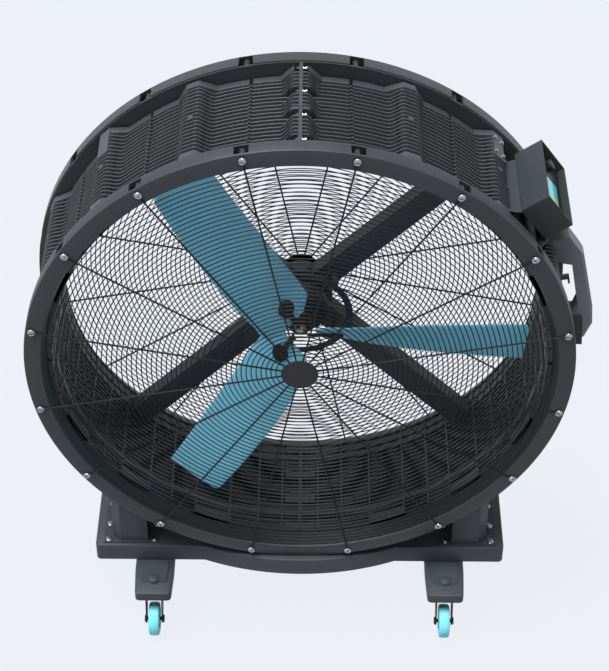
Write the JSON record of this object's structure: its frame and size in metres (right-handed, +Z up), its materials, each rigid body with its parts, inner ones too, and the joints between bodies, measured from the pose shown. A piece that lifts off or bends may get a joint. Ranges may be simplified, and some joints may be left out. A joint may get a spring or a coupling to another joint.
{
  "type": "drum fan",
  "caption": "Large round drum fan with louvred walls, wire guards, three twisted blades, a side handle and a control box, on a castor base.",
  "frame": {"origin": "on the floor, under the middle of the whole object", "axes": "+Z up; the blades' axis lies along Y and the front of the drum faces -Y; the handle is on the +X side"},
  "size_m": [1.593, 0.724, 1.7713],
  "materials": {
    "rim_plastic": "charcoal moulded plastic, satin",
    "panel_plastic": "charcoal moulded plastic, fine grain",
    "guard_wire": "black powder-coated wire",
    "blade_plastic": "blue-green moulded plastic, satin",
    "hub_metal": "dark painted casting",
    "bright_steel": "turned steel",
    "motor_paint": "dark painted casting",
    "frame_paint": "dark powder coat",
    "base_paint": "charcoal powder coat",
    "bracket_casting": "charcoal powder coat",
    "bracket_bolts": "dark plated steel",
    "castor_fork_metal": "dark plated sheet",
    "castor_wheel_plastic": "bright blue cast plastic",
    "box_paint": "charcoal powder coat",
    "panel_face": "dark moulded face",
    "screen_film": "turquoise printed film",
    "knob_plastic": "black moulded plastic",
    "lamp_lens": "turquoise lens",
    "handle_plastic": "charcoal moulded plastic, satin"
  },
  "bodies": {
    "root": {"base_tray": "base_paint", "cable_hook": "handle_plastic", "castor_bracket_front_left": "bracket_casting", "castor_bracket_front_right": "bracket_casting", "castor_bracket_rear_left": "bracket_casting", "castor_bracket_rear_right": "bracket_casting", "castor_kingpins": "bracket_bolts", "control_box": "box_paint", "control_bracket": "box_paint", "control_lamp": "lamp_lens", "control_panel": "panel_face", "control_screen": "screen_film", "front_grille": "guard_wire", "front_grille_disc": "guard_wire", "front_rim": "rim_plastic", "gusset_left": "base_paint", "gusset_right": "base_paint", "handle": "handle_plastic", "handle_foot": "box_paint", "motor_arms": "frame_paint", "motor_cradle": "frame_paint", "motor_front_shield": "motor_paint", "motor_guard_ring": "frame_paint", "motor_housing": "motor_paint", "motor_rear_cover": "motor_paint", "panel_bottom_left": "panel_plastic", "panel_bottom_right": "panel_plastic", "panel_top_left": "panel_plastic", "panel_top_right": "panel_plastic", "rear_grille": "guard_wire", "rear_grille_disc": "guard_wire", "rear_rim": "rim_plastic"},
    "rotor": {"fan_shaft": "bright_steel", "hub": "hub_metal", "hub_nut": "bright_steel", "blade_1": "blade_plastic", "blade_2": "blade_plastic", "blade_3": "blade_plastic", "blade_backing_plates": "hub_metal"},
    "knob": {"control_knob": "knob_plastic"},
    "castor_front_right": {"castor_fork_front_right": "castor_fork_metal", "castor_axle_front_right": "bright_steel"},
    "wheel_front_right": {"castor_wheel_front_right": "castor_wheel_plastic"},
    "castor_rear_right": {"castor_fork_rear_right": "castor_fork_metal", "castor_axle_rear_right": "bright_steel"},
    "wheel_rear_right": {"castor_wheel_rear_right": "castor_wheel_plastic"},
    "castor_front_left": {"castor_fork_front_left": "castor_fork_metal", "castor_axle_front_left": "bright_steel"},
    "wheel_front_left": {"castor_wheel_front_left": "castor_wheel_plastic"},
    "castor_rear_left": {"castor_fork_rear_left": "castor_fork_metal", "castor_axle_rear_left": "bright_steel"},
    "wheel_rear_left": {"castor_wheel_rear_left": "castor_wheel_plastic"}
  },
  "joints": [
    {"name": "rotor_spin", "type": "hinge", "parent": "root", "child": "rotor", "pos_m": [-0.0335, -0.037, 1.0083], "axis": [0, 1, 0], "continuous": true},
    {"name": "knob_turn", "type": "hinge", "parent": "root", "child": "knob", "pos_m": [0.63637, 0.083, 1.49499], "axis": [0.809, 0, 0.5878], "range_deg": [-135, 135]},
    {"name": "castor_swivel_front_right", "type": "hinge", "parent": "root", "child": "castor_front_right", "pos_m": [0.4095, -0.266, 0.147], "axis": [0, 0, 1], "continuous": true},
    {"name": "wheel_roll_front_right", "type": "hinge", "parent": "castor_front_right", "child": "wheel_front_right", "pos_m": [0.4095, -0.31, 0.052], "axis": [1, 0, 0], "continuous": true},
    {"name": "castor_swivel_rear_right", "type": "hinge", "parent": "root", "child": "castor_rear_right", "pos_m": [0.4095, 0.266, 0.147], "axis": [0, 0, 1], "continuous": true},
    {"name": "wheel_roll_rear_right", "type": "hinge", "parent": "castor_rear_right", "child": "wheel_rear_right", "pos_m": [0.4095, 0.31, 0.052], "axis": [1, 0, 0], "continuous": true},
    {"name": "castor_swivel_front_left", "type": "hinge", "parent": "root", "child": "castor_front_left", "pos_m": [-0.4765, -0.266, 0.147], "axis": [0, 0, 1], "continuous": true},
    {"name": "wheel_roll_front_left", "type": "hinge", "parent": "castor_front_left", "child": "wheel_front_left", "pos_m": [-0.4765, -0.31, 0.052], "axis": [1, 0, 0], "continuous": true},
    {"name": "castor_swivel_rear_left", "type": "hinge", "parent": "root", "child": "castor_rear_left", "pos_m": [-0.4765, 0.266, 0.147], "axis": [0, 0, 1], "continuous": true},
    {"name": "wheel_roll_rear_left", "type": "hinge", "parent": "castor_rear_left", "child": "wheel_rear_left", "pos_m": [-0.4765, 0.31, 0.052], "axis": [1, 0, 0], "continuous": true}
  ]
}
